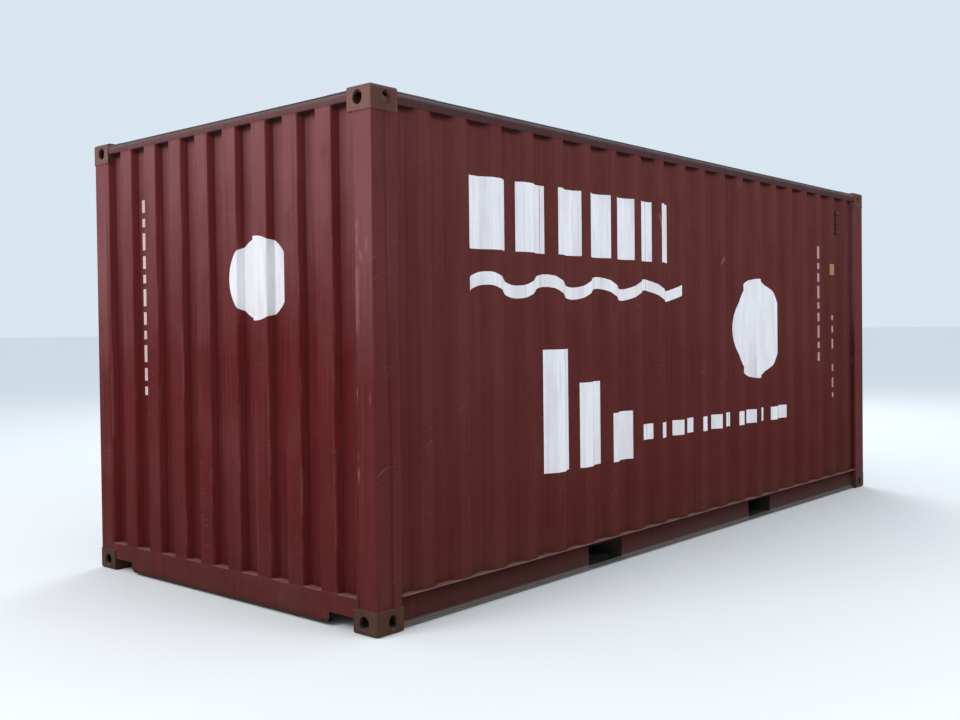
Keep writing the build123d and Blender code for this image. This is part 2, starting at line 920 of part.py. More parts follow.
def ventilators():
    """Hooded ventilator with slots, high on each side wall in the valley of a fold."""
    centre_x = side_ridges()[-1] - side_pitch / 2
    centre_z = height - vent_below_top
    back = side_sheet_plane + side_depth
    x_span = (centre_x - vent_width / 2, centre_x + vent_width / 2)
    z_span = (centre_z - vent_height / 2, centre_z + vent_height / 2)
    face = back - vent_depth
    hood = block(x_span, (face, back), z_span)
    hood = chamfer(hood.faces().sort_by(Axis.Y)[0].edges(), vent_bevel)
    hood -= block(
        (x_span[0] + vent_wall, x_span[1] - vent_wall),
        (face + vent_wall, back + overrun),
        (z_span[0] + vent_wall, z_span[1] - vent_wall))
    for index in range(vent_slots):
        middle = centre_z + (index - (vent_slots - 1) / 2) * vent_slot_pitch
        hood -= block(
            (x_span[0] + vent_slot_margin, x_span[1] - vent_slot_margin),
            (face - overrun, face + vent_wall + overrun),
            (middle - vent_slot_height / 2, middle + vent_slot_height / 2))
    return gathered(both_sides(hood))


# The assembly

def assembly():
    """Every sub-part by the name of its node."""
    nodes = {}
    fitting = corner_fitting()
    for level, raised in (("bottom", fitting), ("top", to_top(fitting))):
        nodes[f"corner_fitting_front_left_{level}"] = raised
        nodes[f"corner_fitting_front_right_{level}"] = to_right(raised)
        nodes[f"corner_fitting_rear_left_{level}"] = to_rear(raised)
        nodes[f"corner_fitting_rear_right_{level}"] = to_rear(to_right(raised))
    paired = {
        "front_post": front_post(),
        "rear_post": rear_post(),
        "top_side_rail": top_side_rail(),
        "bottom_side_rail": bottom_side_rail(),
        "side_wall": side_wall(),
        "door_frame": door_frame(),
        "door_panel": door_panel(),
        "door_hinges": door_hinges(),
    }
    outer_rod, inner_rod = rod_places()
    paired["lock_rod_outer"] = lock_rod(outer_rod, 1)
    paired["lock_rod_inner"] = lock_rod(inner_rod, -1)
    for name, shape in paired.items():
        nodes[f"{name}_left"] = shape
        nodes[f"{name}_right"] = to_right(shape)
    nodes["front_header"] = front_header()
    nodes["front_sill"] = front_sill()
    nodes["door_header"] = door_header()
    nodes["door_sill"] = door_sill()
    nodes["front_wall"] = front_wall()
    nodes["roof_panel"] = roof_panel()
    nodes["roof_corner_plates"] = roof_corner_plates()
    front_pocket, rear_pocket = pocket_centres()
    nodes["fork_pocket_front"] = fork_pocket(front_pocket)
    nodes["fork_pocket_rear"] = fork_pocket(rear_pocket)
    nodes["cross_members"] = cross_members()
    nodes["floor_boards"] = floor_boards()
    nodes["floor_centre_rail"] = floor_centre_rail()
    nodes["door_gaskets"] = door_gaskets()
    nodes["cam_keepers"] = cam_keepers()
    nodes["rod_brackets"] = rod_brackets()
    nodes["handle_catches"] = handle_catches()
    nodes["ventilators"] = ventilators()
    return nodes


os.makedirs("parts", exist_ok=True)
for node, shape in assembly().items():
    export_step(shape, f"parts/{node}.step")
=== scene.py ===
import json
from math import cos, pi, radians, sin

import bmesh
import bpy
from mathutils import Matrix, Vector
from mathutils.bvhtree import BVHTree


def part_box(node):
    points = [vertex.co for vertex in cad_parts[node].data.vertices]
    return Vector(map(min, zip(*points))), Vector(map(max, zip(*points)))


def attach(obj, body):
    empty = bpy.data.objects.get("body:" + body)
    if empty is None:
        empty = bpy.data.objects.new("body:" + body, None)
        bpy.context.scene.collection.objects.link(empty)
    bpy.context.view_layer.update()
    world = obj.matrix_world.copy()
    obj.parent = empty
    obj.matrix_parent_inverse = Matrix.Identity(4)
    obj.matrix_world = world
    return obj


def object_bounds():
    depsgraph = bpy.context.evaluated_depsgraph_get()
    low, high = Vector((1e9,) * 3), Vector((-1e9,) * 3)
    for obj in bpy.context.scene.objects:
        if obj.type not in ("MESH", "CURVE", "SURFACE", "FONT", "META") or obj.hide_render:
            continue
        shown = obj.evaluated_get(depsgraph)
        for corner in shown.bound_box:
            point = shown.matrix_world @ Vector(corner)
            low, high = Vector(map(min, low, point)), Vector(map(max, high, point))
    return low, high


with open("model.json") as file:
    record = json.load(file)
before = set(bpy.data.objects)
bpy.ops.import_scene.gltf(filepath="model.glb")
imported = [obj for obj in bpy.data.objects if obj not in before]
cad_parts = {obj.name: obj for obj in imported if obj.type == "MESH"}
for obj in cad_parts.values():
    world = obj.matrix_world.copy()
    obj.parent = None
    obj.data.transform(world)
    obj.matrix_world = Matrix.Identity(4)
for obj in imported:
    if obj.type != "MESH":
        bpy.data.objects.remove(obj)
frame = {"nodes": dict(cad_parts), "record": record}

# A 20 ft freight container: weathered oxide-red steel box, seen from its blind end and its left side.
# Metres, +X to the door end, +Z up; the container stands on z = 0.

cad_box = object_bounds()
nodes = frame["nodes"]
MM = 0.001


# Sizes read from the frame

low, high = (Vector(corner) for corner in cad_box)
end_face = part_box("front_header")[0].x
side_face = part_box("top_side_rail_left")[0].y
rail_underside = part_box("top_side_rail_left")[0].z
header_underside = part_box("front_header")[0].z
roof_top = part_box("top_side_rail_left")[1].z
floor_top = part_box("bottom_side_rail_left")[1].z
sill_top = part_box("front_sill")[1].z
fitting_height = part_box("corner_fitting_front_left_bottom")[1].z
fitting_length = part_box("corner_fitting_front_left_bottom")[1].x - low.x
fitting_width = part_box("corner_fitting_front_left_bottom")[1].y - low.y
side_ridge_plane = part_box("side_wall_left")[0].y
side_valley_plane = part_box("side_wall_left")[1].y
end_ridge_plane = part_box("front_wall")[0].x
end_valley_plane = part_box("front_wall")[1].x
leaf_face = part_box("door_panel_left")[1].x
SIDE_SHEET = 1.6 * MM
SAME_PLACE = 0.02 * MM      # points of a node closer than this are one
SAME_POINT = 0.01 * MM      # the same for added lines and paint
side_valley_skin = side_valley_plane - SIDE_SHEET

# Folds of the walls: the middle of a valley lies on every whole pitch, counted from the middle of a wall
SIDE_PITCH = 280 * MM
SIDE_VALLEY = 70 * MM
SIDE_SLOPE = 69 * MM
END_PITCH = 250 * MM
END_VALLEY = 104 * MM
END_SLOPE = 18 * MM
POCKET_MIDDLE = 1045 * MM


# Building shader and geometry trees

def linear(code):
    """An sRGB hex colour as the linear colour with alpha that a socket takes."""
    channels = [int(code[start:start + 2], 16) / 255 for start in (1, 3, 5)]
    return tuple(c / 12.92 if c <= 0.04045 else ((c + 0.055) / 1.055) ** 2.4 for c in channels) + (1.0,)


def fill(tree, node, sockets):
    """Fills a node's sockets, given by name or, the open ones, by their order. A plain value is set, an
    output is linked, and a node stands for its first open output."""
    open_ones = [index for index, socket in enumerate(node.inputs) if socket.enabled]
    for key, value in sockets.items() if isinstance(sockets, dict) else zip(open_ones, sockets):
        if isinstance(value, bpy.types.Node):
            value = next(socket for socket in value.outputs if socket.enabled)
        if isinstance(value, bpy.types.NodeSocket):
            tree.links.new(value, node.inputs[key])
        else:
            node.inputs[key].default_value = value


def add(tree, kind, sockets=(), **settings):
    """A node with its settings, and its sockets filled."""
    node = tree.nodes.new(kind)
    for name, value in settings.items():
        setattr(node, name, value)
    fill(tree, node, sockets)
    return node


def per(size_mm):
    """Scale of a pattern whose features are a size in millimetres."""
    return 1000 / size_mm


def mottled(tree, where, size_mm, levels=None, detail=3.0, roughness=0.55, stretch=(1, 1, 1),
            shares=(0.0, 1.0)):
    """Clouds of a real size, drawn longer along an axis by its stretch. With two levels they become a
    share, which grows from the first to the second."""
    scale = [per(size_mm) / longer for longer in stretch]
    scaled = add(tree, "ShaderNodeVectorMath", (where, scale), operation="MULTIPLY")
    clouds = add(tree, "ShaderNodeTexNoise", (scaled, 1.0, detail, roughness))
    return add(tree, "ShaderNodeMapRange", (clouds, *levels, *shares)) if levels else clouds


def coated(tree, colour, coats):
    """A colour under coats of others, each with its tone and the shares that multiply to its cover."""
    for tone, cover, *shares in coats:
        for share in shares:
            cover = add(tree, "ShaderNodeMath", (cover, share), operation="MULTIPLY")
        colour = add(tree, "ShaderNodeMix", (cover, colour, linear(tone)), data_type="RGBA")
    return colour


def raised(tree, shader, layers):
    """Bumps on top of each other, each a height pattern with its real depth in millimetres."""
    normal = {}
    for height, depth_mm in layers:
        bump = add(tree, "ShaderNodeBump", {"Height": height, "Distance": depth_mm * MM, "Strength": 1.0,
                                            **normal})
        normal = {"Normal": bump}
    fill(tree, shader, normal)


def new_material(name):
    """An empty material with its shader and the places on the piece."""
    material = bpy.data.materials.new(name)
    material.use_nodes = True
    tree = material.node_tree
    tree.nodes.clear()
    shader = add(tree, "ShaderNodeBsdfPrincipled")
    add(tree, "ShaderNodeOutputMaterial", {"Surface": shader})
    where = add(tree, "ShaderNodeTexCoord").outputs["Object"]
    return material, tree, shader, where


# Finishes

def folds(tree, where, wall):
    """How deep in a valley a place lies, how near it is to a ridge's edge, and how near to the corner of
    the valley on its positive side, as three shares."""
    place = add(tree, "ShaderNodeSeparateXYZ", (where,)).outputs
    if wall == "side":
        along, depth = place["X"], add(tree, "ShaderNodeMath", (place["Y"],), operation="ABSOLUTE")
        pitch, width, slope = SIDE_PITCH, SIDE_VALLEY, SIDE_SLOPE
        start, end = -side_ridge_plane, -side_valley_plane
    else:
        along, depth = place["Y"], place["X"]
        pitch, width, slope = END_PITCH, END_VALLEY, END_SLOPE
        start, end = end_ridge_plane, end_valley_plane
    valley = add(tree, "ShaderNodeMapRange", (depth, start, end))
    turns = add(tree, "ShaderNodeMath", (along, pitch), operation="DIVIDE")
    nearest = add(tree, "ShaderNodeMath", (turns,), operation="ROUND")
    off = add(tree, "ShaderNodeMath", (turns, nearest), operation="SUBTRACT")
    distance = add(tree, "ShaderNodeMath", (off,), operation="ABSOLUTE")
    gap = add(tree, "ShaderNodeMath", (distance, (width / 2 + slope) / pitch), operation="SUBTRACT")
    gap = add(tree, "ShaderNodeMath", (gap,), operation="ABSOLUTE")
    ridge_edge = add(tree, "ShaderNodeMapRange", (gap, 7 * MM / pitch, 2 * MM / pitch))
    valley_floor = add(tree, "ShaderNodeMapRange", (valley, 0.7, 0.93))
    # The share near each valley's corner on its positive side, where painted shade goes
    to_side = add(tree, "ShaderNodeMapRange", (off, -0.1 * width / pitch, 0.5 * width / pitch))
    corner = add(tree, "ShaderNodeMath", (valley_floor, to_side), operation="MULTIPLY")
    return valley, ridge_edge, corner


def bared(tree, where, place, scrapes):
    """Shares that multiply to where long scrapes laid the pale primer bare, on the left side."""
    whole = 0.0
    for axis, at, lean, top, foot, width_mm in scrapes:
        line = add(tree, "ShaderNodeMath", (place["Z"], -lean, place[axis]), operation="MULTIPLY_ADD")
        off = add(tree, "ShaderNodeMath", (line, at - lean * foot), operation="SUBTRACT")
        off = add(tree, "ShaderNodeMath", (off,), operation="ABSOLUTE")
        band = add(tree, "ShaderNodeMapRange", (off, width_mm / 2 * MM, width_mm / 5 * MM))
        above = add(tree, "ShaderNodeMapRange", (place["Z"], foot - 10 * MM, foot + 40 * MM))
        below = add(tree, "ShaderNodeMapRange", (place["Z"], top + 10 * MM, top - 15 * MM))
        length = add(tree, "ShaderNodeMath", (above, below), operation="MULTIPLY")
        scrape = add(tree, "ShaderNodeMath", (band, length), operation="MULTIPLY")
        whole = add(tree, "ShaderNodeMath", (whole, scrape), operation="MAXIMUM")
    ragged = mottled(tree, where, 12, (0.34, 0.54), detail=4, roughness=0.6, stretch=(1, 1, 3),
                     shares=(0.25, 1.0))
    left_side = add(tree, "ShaderNodeMapRange", (place["Y"], 0.0, -0.1))
    return whole, ragged, left_side


def enamel(name, fresh, chalk_sheen_tone, grime, wall=None, chalk_sheen_heights=(0.2, 2.6), side_shade=0.0, side_shade_tone=None, valley_shade=0.4,
           corner_shade=0.0, rust=0.35, dust=0.6, dust_tone="#77706b", crown=None, crown_top=0.0, mud="#3a2a23",
           splash=0.42, foot=False, scuffs=0.5, scrapes=(), bareness=0.75, rear_stain=0.0, sheen=0.66,
           gloss=0.07, dents_mm=2.0, cast=False, rail=False):
    """Oxide-red alkyd enamel, sprayed on blasted steel, after years at sea: chalky and nearly without gloss
    where the sun and rain reach it, lighter towards the top from chalking and a painted sky sheen, with
    painted shade in the folds, under the rails and on faces turned down, streaked downwards, scuffed on what
    stands proud, rusty at chips. Faces turned to the sides are painted darker and less chalked, by a share
    set per finish: painted shade, as the light comes from the blind end."""
    material, tree, shader, where = new_material(name)
    place = add(tree, "ShaderNodeSeparateXYZ", (where,)).outputs
    facing = add(tree, "ShaderNodeNewGeometry").outputs["True Normal"]
    facing = add(tree, "ShaderNodeSeparateXYZ", (facing,)).outputs
    upward = facing["Z"]

    # Lighter towards the top, in clouds about half a metre wide: chalking and a painted sky sheen
    clouds = mottled(tree, where, 520, detail=4)
    height = add(tree, "ShaderNodeMapRange", (place["Z"], *chalk_sheen_heights))
    drift = add(tree, "ShaderNodeMapRange", (clouds, 0.25, 0.75, -0.2, 0.2))
    chalk_and_sheen = add(tree, "ShaderNodeMath", (height, drift), operation="ADD", use_clamp=True)
    # Painted shade: faces turned to the sides keep a darker, less chalked tone
    sideways = add(tree, "ShaderNodeMath", (facing["Y"],), operation="ABSOLUTE")
    side_shaded = add(tree, "ShaderNodeMapRange", (sideways, 0.5, 0.9, 0.0, side_shade))
    coats = [(chalk_sheen_tone, chalk_and_sheen), (side_shade_tone or fresh, side_shaded)]

    # Streaks that rain drew down the sheet, 25 mm wide and a metre long, dark ones and light ones
    dark_runs = mottled(tree, where, 26, (0.50, 0.72), detail=4, roughness=0.6, stretch=(1, 1, 34))
    light_runs = mottled(tree, where, 19, (0.54, 0.74), detail=3, roughness=0.6, stretch=(1, 1, 46))
    # Blotches a hand wide, where paint was touched up
    patches = mottled(tree, where, 150, (0.56, 0.64), detail=3, roughness=0.5, stretch=(1, 1, 2))
    coats += [(grime, dark_runs, 0.26), (chalk_sheen_tone, light_runs, 0.20), (grime, patches, 0.12)]

    proud = 1.0
    if wall:
        # Painted shade in the valleys, in their corners and right under the rail; chalk along the ridges'
        # edges
        valley, ridge_edge, corner = folds(tree, where, wall)
        cloudy = mottled(tree, where, 90, (0.2, 0.8), detail=4, roughness=0.6, stretch=(1, 1, 6),
                         shares=(0.35, 1.0))
        bright = mottled(tree, where, 40, (0.48, 0.62), detail=3, roughness=0.6, stretch=(1, 1, 8))
        top = rail_underside if wall == "side" else header_underside
        # Painted shadow in the valleys just below the rail's underside
        rail_shadow = add(tree, "ShaderNodeMapRange", (place["Z"], top - 28 * MM, top - 10 * MM))
        deep = add(tree, "ShaderNodeMapRange", (valley, 0.12, 0.5))
        # Painted shade: valleys darkened by their depth, their corners on one side, and the strip under the
        # rail
        coats += [(grime, valley, cloudy, valley_shade), (chalk_sheen_tone, ridge_edge, bright, 0.40), (grime, corner, corner_shade),
                  ("#30120e", rail_shadow, deep, 0.68)]
        proud = add(tree, "ShaderNodeMapRange", (valley, 0.25, 0.02))

    # Scuffs from handling: long thin scrapes, mostly level ones
    level = mottled(tree, where, 5, (0.655, 0.70), detail=2, roughness=0.5, stretch=(60, 60, 1))
    slanting = add(tree, "ShaderNodeMapping", {"Vector": where, "Rotation": (0.5, 0.45, 0.3)})
    slanted = mottled(tree, slanting, 4, (0.67, 0.71), detail=2, roughness=0.5, stretch=(50, 50, 1))
    scuffed = add(tree, "ShaderNodeMath", (level, slanted), operation="MAXIMUM")
    rubbed = mottled(tree, where, 380, (0.5, 0.66))
    coats.append(("#967a76", scuffed, rubbed, proud, scuffs))
    if scrapes:
        coats.append(("#9c6b6c", *bared(tree, where, place, scrapes), bareness))
    if rear_stain:
        rearmost = add(tree, "ShaderNodeMapRange", (place["X"], 2.1, 2.5))
        coats.append(("#34241c", rearmost, rear_stain))

    # Rust: pin-head to coin-sized chips, and what runs down below them
    chips = mottled(tree, where, 22, (0.70 - 0.05 * rust, 0.76 - 0.05 * rust), detail=5, roughness=0.65)
    seams = mottled(tree, where, 240, (0.42, 0.62))
    runs = mottled(tree, where, 12, (0.63, 0.74), stretch=(1, 1, 28))
    low_down = add(tree, "ShaderNodeMapRange", (place["Z"], 0.75, 0.12, 0.25, 1.0))
    wet = add(tree, "ShaderNodeMath", (low_down, rust), operation="MAXIMUM")
    rusty = add(tree, "ShaderNodeMath", (chips, seams), operation="MULTIPLY")
    rusty = add(tree, "ShaderNodeMath", (rusty, wet), operation="MULTIPLY")
    coats += [("#4a2415", runs, seams, low_down, 0.55 * rust), ("#57301d", rusty)]

    # Splashed mud near the ground, a darker foot, and a grey film on the crown
    splashed = add(tree, "ShaderNodeMapRange", (place["Z"], splash, 0.05))
    spread = add(tree, "ShaderNodeMapRange", (clouds, 0.3, 0.7, 0.35, 0.8))
    coats.append((mud, splashed, spread, 0.5))
    if foot:
        # The foot is darker in its lowest 50 mm
        soiled = add(tree, "ShaderNodeMapRange", (place["Z"], 48 * MM, 22 * MM))
        coats.append(("#2c211c", soiled, 0.6))
    if crown:
        film = add(tree, "ShaderNodeMapRange", (place["Z"], crown_top - 24 * MM, crown_top - 4 * MM))
        coats.append((crown, film, mottled(tree, where, 90, (0.25, 0.6), detail=4, shares=(0.5, 1.0))))
    if rail:
        # Painted shade under the ledge of the channel, road dust on its lower lip and along the ledge's edge
        ledge_shade = add(tree, "ShaderNodeMapRange", (place["Z"], 80 * MM, floor_top - 8 * MM))
        lip = add(tree, "ShaderNodeMapRange", (place["Z"], 105 * MM, 20 * MM))
        rearward = add(tree, "ShaderNodeMapRange", (place["X"], -2.7, -0.4, 0.06, 0.65))
        edge = add(tree, "ShaderNodeMapRange", (place["Z"], floor_top - 7 * MM, floor_top - 2 * MM))
        patchy = mottled(tree, where, 120, (0.25, 0.6), detail=4, roughness=0.6, shares=(0.55, 1.0))
        coats += [("#22120f", ledge_shade, 0.6), ("#4a403c", lip, rearward, patchy), (dust_tone, edge, patchy)]

    # Dust on what faces up
    level_face = add(tree, "ShaderNodeMapRange", (upward, 0.45, 0.9))
    dusty = mottled(tree, where, 60, (0.25, 0.7), detail=5, roughness=0.6, shares=(0.55, 1.0))
    settled = add(tree, "ShaderNodeMath", (level_face, dusty), operation="MULTIPLY")
    settled = add(tree, "ShaderNodeMath", (settled, dust), operation="MULTIPLY")
    coats.append((dust_tone, settled))
    if rail:
        # The foot of the channel is grey, and scraped bare where forks slide in and out
        foot_dust = add(tree, "ShaderNodeMapRange", (place["Z"], 34 * MM, 20 * MM))
        off = add(tree, "ShaderNodeMath", (place["X"],), operation="ABSOLUTE")
        off = add(tree, "ShaderNodeMath", (off, POCKET_MIDDLE), operation="SUBTRACT")
        off = add(tree, "ShaderNodeMath", (off,), operation="ABSOLUTE")
        at_pocket = add(tree, "ShaderNodeMapRange", (off, 0.20, 0.17))
        strap = add(tree, "ShaderNodeMapRange", (place["Z"], 60 * MM, 34 * MM))
        coats += [("#716a65", foot_dust, 0.8), ("#53544c", at_pocket, strap, 0.8)]
    # Painted shade on faces turned down
    faces_down_shade = add(tree, "ShaderNodeMapRange", (upward, -0.8, -0.97))
    coats.append(("#20120f", faces_down_shade, 0.75))

    streaked = add(tree, "ShaderNodeMapRange", (dark_runs, 0, 1, 0, 0.5))
    dull = add(tree, "ShaderNodeMath", (rusty, settled), operation="MAXIMUM")
    dull = add(tree, "ShaderNodeMath", (dull, streaked), operation="MAXIMUM")
    fill(tree, shader, {"Base Color": coated(tree, linear(fresh), coats), "Specular IOR Level": gloss,
                        "Roughness": add(tree, "ShaderNodeMapRange", (dull, 0.0, 1.0, sheen, 0.92))})
    dents = mottled(tree, where, 430, detail=2, roughness=0.5, stretch=(1, 1, 1.6))
    layers = [(dents, dents_mm * 4), (mottled(tree, where, 9, detail=2), 0.18), (rusty, 0.5)]
    if cast:
        layers.append((mottled(tree, where, 5, detail=4, roughness=0.65), 1.1))
    raised(tree, shader, layers)
    return material


def seal_rubber():
    """EPDM rubber, extruded: black, with a matt skin that turns grey with dust and age."""
    material, tree, shader, where = new_material("epdm_rubber_aged")
    bloom = mottled(tree, where, 70, (0.35, 0.75), detail=5, roughness=0.6)
    colour = coated(tree, linear("#141414"), [("#3b3936", bloom, 0.6)])
    fill(tree, shader, {"Base Color": colour, "Roughness": 0.72, "IOR": 1.5})
    raised(tree, shader, [(mottled(tree, where, 4), 0.3), (mottled(tree, where, 45, detail=2), 1.2)])
    return material


def galvanised_steel():
    """Hot-dip galvanised steel: zinc crystals a fingertip wide, dulled grey, with white and brown rust."""
    material, tree, shader, where = new_material("hot_dip_galvanised_steel")
    crystals = add(tree, "ShaderNodeTexVoronoi", {"Vector": where, "Scale": per(12)}).outputs["Color"]
    tone = add(tree, "ShaderNodeSeparateColor", (crystals,))
    white_rust = mottled(tree, where, 55, (0.52, 0.68), detail=5, roughness=0.65)
    stains = mottled(tree, where, 30, (0.56, 0.70), detail=4, roughness=0.6, stretch=(1, 1, 9))
    grime = mottled(tree, where, 210, (0.45, 0.75), detail=4)
    colour = coated(tree, linear("#8c8f90"), [("#aaadad", tone, 0.55), ("#b9b7b0", white_rust, 0.5),
                                              ("#5b3a24", stains, 0.65), ("#453f3a", grime, 0.4)])
    rusted = add(tree, "ShaderNodeMath", (white_rust, stains), operation="MAXIMUM")
    fill(tree, shader, {"Base Color": colour,
                        "Metallic": add(tree, "ShaderNodeMapRange", (rusted, 0, 1, 0.85, 0.15)),
                        "Roughness": add(tree, "ShaderNodeMapRange", (tone, 0, 1, 0.42, 0.6))})
    raised(tree, shader, [(tone, 0.08), (mottled(tree, where, 8), 0.35)])
    return material


def bitumen_coat():
    """Bitumen wax, sprayed thick on the underside: near black, softly glossy, with road dust stuck on."""
    material, tree, shader, where = new_material("bitumen_coat")
    dust = mottled(tree, where, 130, (0.4, 0.75), detail=5, roughness=0.6)
    rust = mottled(tree, where, 34, (0.62, 0.70), detail=5, roughness=0.65)
    colour = coated(tree, linear("#1d1815"), [("#4b4038", dust, 0.55), ("#4c2a19", rust, 0.7)])
    fill(tree, shader, {"Base Color": colour,
                        "Roughness": add(tree, "ShaderNodeMapRange", (dust, 0, 1, 0.45, 0.9))})
    raised(tree, shader, [(mottled(tree, where, 14, detail=4, roughness=0.6), 0.9),
                          (mottled(tree, where, 160, detail=2), 2.5)])
    return material


def floor_plywood():
    """Keruing plywood, 28 mm, rotary cut: red-brown face veneer with grain along the container, dark from
    tyre marks, with plies at its edges, drawn 4 mm apart so that they show."""
    material, tree, shader, where = new_material("keruing_plywood")
    grain = mottled(tree, where, 7, detail=5, roughness=0.6, stretch=(90, 1, 1))
    veneer = add(tree, "ShaderNodeMapRange", (grain, 0.3, 0.7))
    figure = mottled(tree, where, 60, (0.4, 0.7), detail=3, roughness=0.5, stretch=(14, 1, 1))
    tyre_marks = mottled(tree, where, 170, (0.5, 0.68), detail=4, roughness=0.6, stretch=(7, 1, 1))
    height = add(tree, "ShaderNodeSeparateXYZ", (where,)).outputs["Z"]
    layer = add(tree, "ShaderNodeMath", (height, per(4)), operation="MULTIPLY")
    layer = add(tree, "ShaderNodeMath", (layer,), operation="FRACT")
    ply = add(tree, "ShaderNodeMapRange", (layer, 0.45, 0.55))
    facing = add(tree, "ShaderNodeNewGeometry").outputs["True Normal"]
    upward = add(tree, "ShaderNodeSeparateXYZ", (facing,)).outputs["Z"]
    level = add(tree, "ShaderNodeMath", (upward,), operation="ABSOLUTE")
    edge = add(tree, "ShaderNodeMapRange", (level, 0.5, 0.1))
    colour = coated(tree, linear("#6e4a30"), [("#94694a", veneer), ("#573722", figure, 0.5),
                                              ("#2d2420", tyre_marks, 0.5), ("#3f2819", ply, edge, 0.6)])
    fill(tree, shader, {"Base Color": colour,
                        "Roughness": add(tree, "ShaderNodeMapRange", (tyre_marks, 0, 1, 0.72, 0.5))})
    fibres = mottled(tree, where, 18, detail=4, roughness=0.6, stretch=(6, 1, 1))
    raised(tree, shader, [(grain, 0.4), (fibres, 0.7)])
    return material


def marking_enamel(name, clean, soiled):
    """Marking enamel, sprayed through a stencil: flat, washed thin, chipped down to the red."""
    material, tree, shader, where = new_material(name)
    washed = mottled(tree, where, 90, (0.42, 0.72), detail=4, roughness=0.6, stretch=(1, 1, 5))
    runs = mottled(tree, where, 16, (0.56, 0.72), detail=3, roughness=0.6, stretch=(1, 1, 30))
    chips = mottled(tree, where, 11, (0.69, 0.72), detail=5, roughness=0.7)
    worn = mottled(tree, where, 160, (0.42, 0.6))
    colour = coated(tree, linear(clean), [(soiled, washed, 0.65), ("#8a6f6c", runs, 0.30),
                                          ("#6a3230", chips, worn)])
    fill(tree, shader, {"Base Color": colour, "Roughness": 0.68})
    raised(tree, shader, [(chips, -0.15), (mottled(tree, where, 9, detail=2), 0.18)])
    return material


def bright_zinc():
    """Zinc-plated steel of bolts and rivets: pale grey, gone dull, with spots of brown rust."""
    material, tree, shader, where = new_material("zinc_plated_steel")
    rust = mottled(tree, where, 16, (0.48, 0.66), detail=4, roughness=0.65)
    fill(tree, shader, {"Base Color": coated(tree, linear("#85837e"), [("#5a3a28", rust, 0.8)]),
                        "Metallic": add(tree, "ShaderNodeMapRange", (rust, 0, 1, 0.9, 0.1)),
                        "Roughness": add(tree, "ShaderNodeMapRange", (rust, 0, 1, 0.45, 0.85))})
    raised(tree, shader, [(mottled(tree, where, 3), 0.1)])
    return material


# Scrapes that the photo shows: the axis that each crosses, its place at its foot, its lean a metre, its
# top, its foot, and its width in millimetres

POST_SCRAPES = (
    ("Y", -1.110, 0.0, 1.96, 1.90, 32),
    ("Y", -1.109, 0.0, 1.90, 1.81, 16),
    ("Y", -1.107, 0.0, 1.74, 1.42, 28),
    ("Y", -1.172, 0.0, 1.87, 1.80, 22),
    ("Y", -1.150, 0.4, 1.82, 1.75, 26),
    ("Y", -1.098, 0.0, 1.17, 1.10, 13),
    ("Y", -1.186, 0.0, 1.15, 1.09, 13),
    ("Y", -1.092, 0.0, 0.86, 0.82, 26),
    ("Y", -1.096, 0.0, 0.79, 0.72, 36),
)
SIDE_SCRAPES = (
    ("X", -0.353, -0.42, 2.17, 1.96, 17),
    ("X", 0.400, 0.8, 1.93, 1.87, 36),
)
end_wall_enamel = enamel("enamel_end_wall", "#591a19", "#7b4b4d", "#3a0e0e", "end", chalk_sheen_heights=(1.3, 2.5),
                         side_shade=0.85, side_shade_tone="#631c1b", mud="#2e1814", splash=0.85, valley_shade=0.0,
                         corner_shade=0.45, scuffs=0.25, dust_tone="#84645f")
side_wall_enamel = enamel("enamel_side_wall", "#532522", "#5f3231", "#3c1917", "side", valley_shade=0.1,
                          scuffs=0.3, scrapes=SIDE_SCRAPES, rear_stain=0.25, gloss=0.005, dents_mm=3,
                          dust_tone="#84645f", mud="#46362f")
frame_enamel = enamel("enamel_frame", "#59201f", "#784749", "#301610", chalk_sheen_heights=(1.15, 1.8), side_shade=0.85,
                      side_shade_tone="#52201f", dust=0.9, scrapes=POST_SCRAPES, bareness=0.4, scuffs=0.35,
                      rust=0.7, dust_tone="#8c5f5c", foot=True)
top_rail_enamel = enamel("enamel_top_rails", "#402625", "#654242", "#33201f", chalk_sheen_heights=(0.0, 1.0), side_shade=0.9,
                         scuffs=0.25, rust=0.5, crown="#6a6063", crown_top=roof_top)
rail_enamel = enamel("enamel_bottom_rails", "#482220", "#552d2c", "#2c1610", dust=1.0, scuffs=0.25,
                     rust=0.8, dust_tone="#84625a", gloss=0.02, rail=True)
casting_enamel = enamel("enamel_castings", "#40231c", "#7a5650", "#2c1a15", chalk_sheen_heights=(-0.56, 2.5), side_shade=0.7,
                        side_shade_tone="#431f13", dust=0.9, scuffs=0.4, rust=1.0, crown="#564d4b",
                        crown_top=high.z, mud="#453c32", sheen=0.7, dents_mm=0.6, cast=True)
roof_enamel = enamel("enamel_roof", "#5b2a28", "#79544f", "#37201b", dust=0.75, scuffs=0.4, rust=0.9,
                     dents_mm=4)
door_enamel = enamel("enamel_doors", "#552524", "#683c3c", "#371c19", scuffs=0.5, rust=0.5)
vent_plastic = enamel("painted_abs_vent", "#48231f", "#50312c", "#301a17", rust=0.0, scuffs=0.2,
                      dents_mm=0.3)
zinc = bright_zinc()

